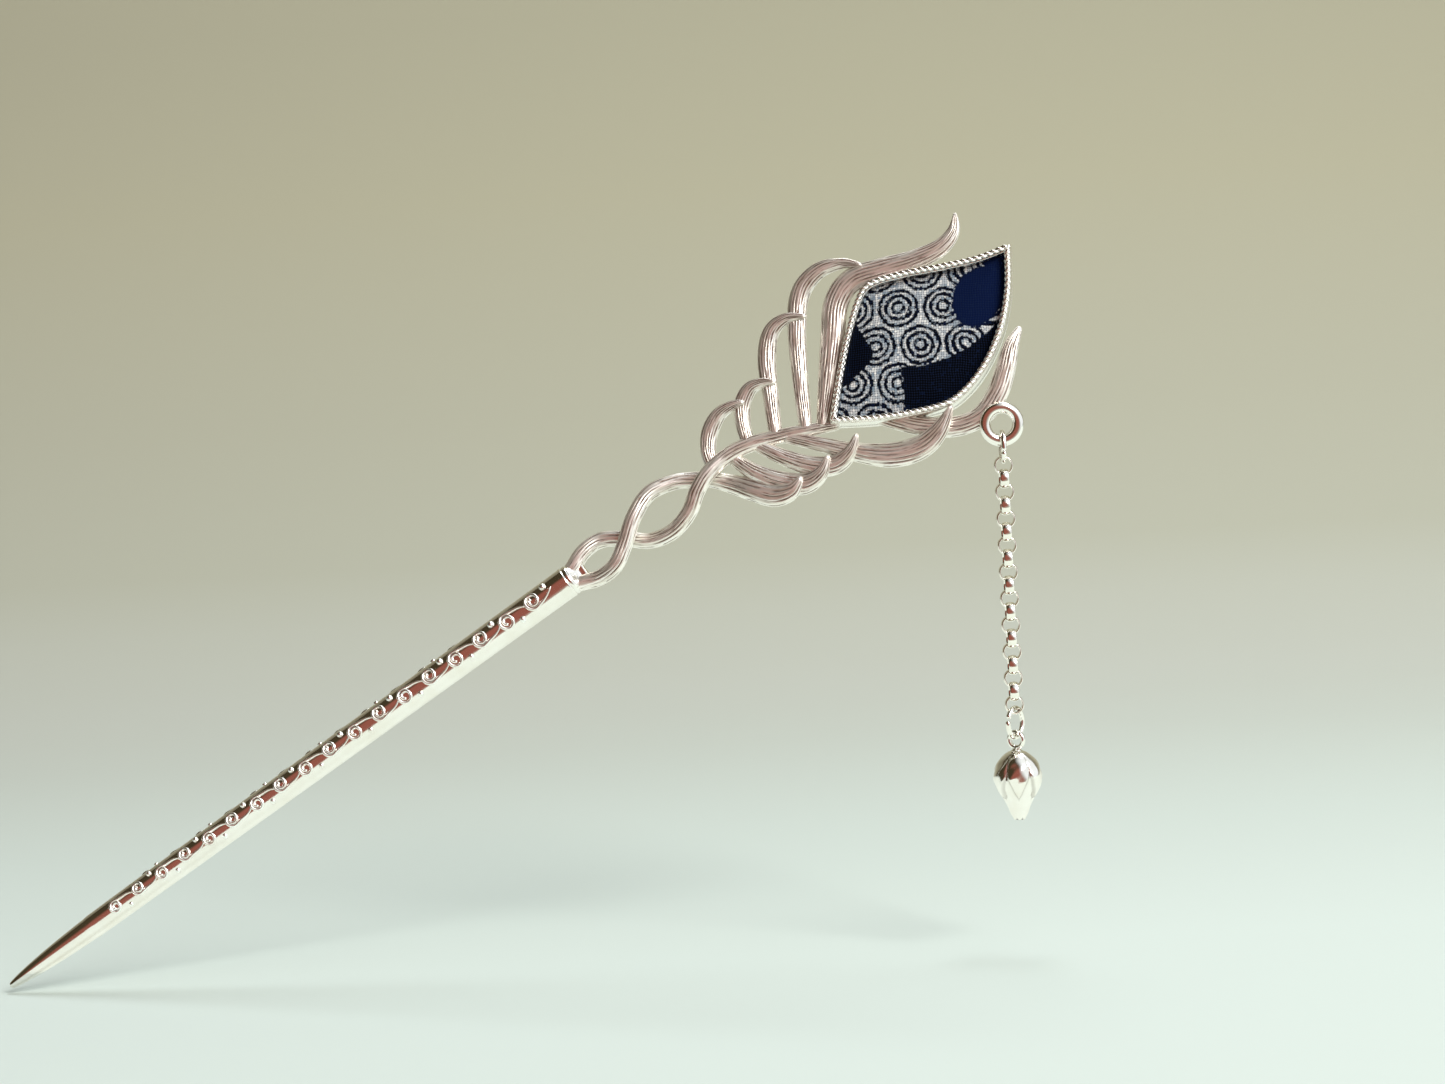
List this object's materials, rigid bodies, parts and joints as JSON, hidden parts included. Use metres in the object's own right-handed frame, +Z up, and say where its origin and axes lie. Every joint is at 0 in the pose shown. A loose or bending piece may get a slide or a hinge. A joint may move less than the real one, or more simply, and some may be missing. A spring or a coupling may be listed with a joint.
{
  "type": "decorative hair pin",
  "caption": "Tapered hair stick with a scrolled shaft, a twisted feather head, a cloth-covered leaf setting and a hanging chain with a bud drop.",
  "frame": {"origin": "on the shaft's axis where the hair grips it, 40 mm behind the seam at the head", "axes": "+Z up with the chain hanging straight down; the stick leans up 33 degrees towards +X; the head's front faces -Y and a little up"},
  "size_m": [0.1492, 0.0159, 0.1039],
  "materials": {
    "shaft_silver": "silver plate, bright",
    "feather_silver": "silver plate, satin",
    "setting_silver": "silver plate, satin",
    "rope_silver": "silver plate, bright",
    "ring_silver": "silver plate, bright",
    "link_silver": "silver plate, bright",
    "bud_silver": "silver plate, polished",
    "board": "plain card",
    "batik_cloth": "plain weave, indigo resist dyed"
  },
  "bodies": {
    "pin": {"shaft": "shaft_silver", "yoke": "shaft_silver", "spine": "feather_silver", "twist_strand": "feather_silver", "plume_upper_1": "feather_silver", "plume_upper_2": "feather_silver", "plume_upper_3": "feather_silver", "plume_upper_4": "feather_silver", "plume_upper_5": "feather_silver", "plume_lower_2": "feather_silver", "plume_lower_3": "feather_silver", "plume_lower_4": "feather_silver", "plume_lower_5": "feather_silver", "setting_back": "setting_silver", "setting_wall": "setting_silver", "rope_edge": "rope_silver", "cloth_board": "board", "cloth": "batik_cloth", "hang_ring": "ring_silver"},
    "upper_ring": {"jump_ring_top": "ring_silver"},
    "link_01": {"link_01": "link_silver"},
    "link_02": {"link_02": "link_silver"},
    "link_03": {"link_03": "link_silver"},
    "link_04": {"link_04": "link_silver"},
    "link_05": {"link_05": "link_silver"},
    "link_06": {"link_06": "link_silver"},
    "link_07": {"link_07": "link_silver"},
    "link_08": {"link_08": "link_silver"},
    "link_09": {"link_09": "link_silver"},
    "link_10": {"link_10": "link_silver"},
    "link_11": {"link_11": "link_silver"},
    "link_12": {"link_12": "link_silver"},
    "link_13": {"link_13": "link_silver"},
    "link_14": {"link_14": "link_silver"},
    "link_15": {"link_15": "link_silver"},
    "link_16": {"link_16": "link_silver"},
    "link_17": {"link_17": "link_silver"},
    "link_18": {"link_18": "link_silver"},
    "link_19": {"link_19": "link_silver"},
    "lower_ring": {"jump_ring_bottom": "ring_silver"},
    "drop": {"bud_eye": "bud_silver", "bud": "bud_silver"}
  },
  "joints": [
    {"name": "upper_ring_swing", "type": "hinge", "parent": "pin", "child": "upper_ring", "pos_m": [0.09473, -0.00639, 0.0406], "axis": [0, 1, 0], "range_deg": [-15, 15]},
    {"name": "link_01_swing", "type": "hinge", "parent": "upper_ring", "child": "link_01", "pos_m": [0.09473, -0.00639, 0.03744], "axis": [-1, 0, 0], "range_deg": [-15, 15]},
    {"name": "link_02_swing", "type": "hinge", "parent": "link_01", "child": "link_02", "pos_m": [0.09473, -0.00639, 0.03483], "axis": [0, 1, 0], "range_deg": [-15, 15]},
    {"name": "link_03_swing", "type": "hinge", "parent": "link_02", "child": "link_03", "pos_m": [0.09473, -0.00639, 0.03296], "axis": [-1, 0, 0], "range_deg": [-15, 15]},
    {"name": "link_04_swing", "type": "hinge", "parent": "link_03", "child": "link_04", "pos_m": [0.09473, -0.00639, 0.03109], "axis": [0, 1, 0], "range_deg": [-15, 15]},
    {"name": "link_05_swing", "type": "hinge", "parent": "link_04", "child": "link_05", "pos_m": [0.09473, -0.00639, 0.02922], "axis": [-1, 0, 0], "range_deg": [-15, 15]},
    {"name": "link_06_swing", "type": "hinge", "parent": "link_05", "child": "link_06", "pos_m": [0.09473, -0.00639, 0.02735], "axis": [0, 1, 0], "range_deg": [-15, 15]},
    {"name": "link_07_swing", "type": "hinge", "parent": "link_06", "child": "link_07", "pos_m": [0.09473, -0.00639, 0.02548], "axis": [-1, 0, 0], "range_deg": [-15, 15]},
    {"name": "link_08_swing", "type": "hinge", "parent": "link_07", "child": "link_08", "pos_m": [0.09473, -0.00639, 0.0236], "axis": [0, 1, 0], "range_deg": [-15, 15]},
    {"name": "link_09_swing", "type": "hinge", "parent": "link_08", "child": "link_09", "pos_m": [0.09473, -0.00639, 0.02173], "axis": [-1, 0, 0], "range_deg": [-15, 15]},
    {"name": "link_10_swing", "type": "hinge", "parent": "link_09", "child": "link_10", "pos_m": [0.09473, -0.00639, 0.01986], "axis": [0, 1, 0], "range_deg": [-15, 15]},
    {"name": "link_11_swing", "type": "hinge", "parent": "link_10", "child": "link_11", "pos_m": [0.09473, -0.00639, 0.01799], "axis": [-1, 0, 0], "range_deg": [-15, 15]},
    {"name": "link_12_swing", "type": "hinge", "parent": "link_11", "child": "link_12", "pos_m": [0.09473, -0.00639, 0.01612], "axis": [0, 1, 0], "range_deg": [-15, 15]},
    {"name": "link_13_swing", "type": "hinge", "parent": "link_12", "child": "link_13", "pos_m": [0.09473, -0.00639, 0.01425], "axis": [-1, 0, 0], "range_deg": [-15, 15]},
    {"name": "link_14_swing", "type": "hinge", "parent": "link_13", "child": "link_14", "pos_m": [0.09473, -0.00639, 0.01238], "axis": [0, 1, 0], "range_deg": [-15, 15]},
    {"name": "link_15_swing", "type": "hinge", "parent": "link_14", "child": "link_15", "pos_m": [0.09473, -0.00639, 0.01051], "axis": [-1, 0, 0], "range_deg": [-15, 15]},
    {"name": "link_16_swing", "type": "hinge", "parent": "link_15", "child": "link_16", "pos_m": [0.09473, -0.00639, 0.00864], "axis": [0, 1, 0], "range_deg": [-15, 15]},
    {"name": "link_17_swing", "type": "hinge", "parent": "link_16", "child": "link_17", "pos_m": [0.09473, -0.00639, 0.00677], "axis": [-1, 0, 0], "range_deg": [-15, 15]},
    {"name": "link_18_swing", "type": "hinge", "parent": "link_17", "child": "link_18", "pos_m": [0.09473, -0.00639, 0.0049], "axis": [0, 1, 0], "range_deg": [-15, 15]},
    {"name": "link_19_swing", "type": "hinge", "parent": "link_18", "child": "link_19", "pos_m": [0.09473, -0.00639, 0.00303], "axis": [-1, 0, 0], "range_deg": [-15, 15]},
    {"name": "lower_ring_swing", "type": "hinge", "parent": "link_19", "child": "lower_ring", "pos_m": [0.09473, -0.00639, 0.00116], "axis": [0, 1, 0], "range_deg": [-15, 15]},
    {"name": "drop_swing", "type": "hinge", "parent": "lower_ring", "child": "drop", "pos_m": [0.09473, -0.00639, -0.00136], "axis": [-0.8192, 0.5736, 0], "range_deg": [-15, 15]}
  ]
}
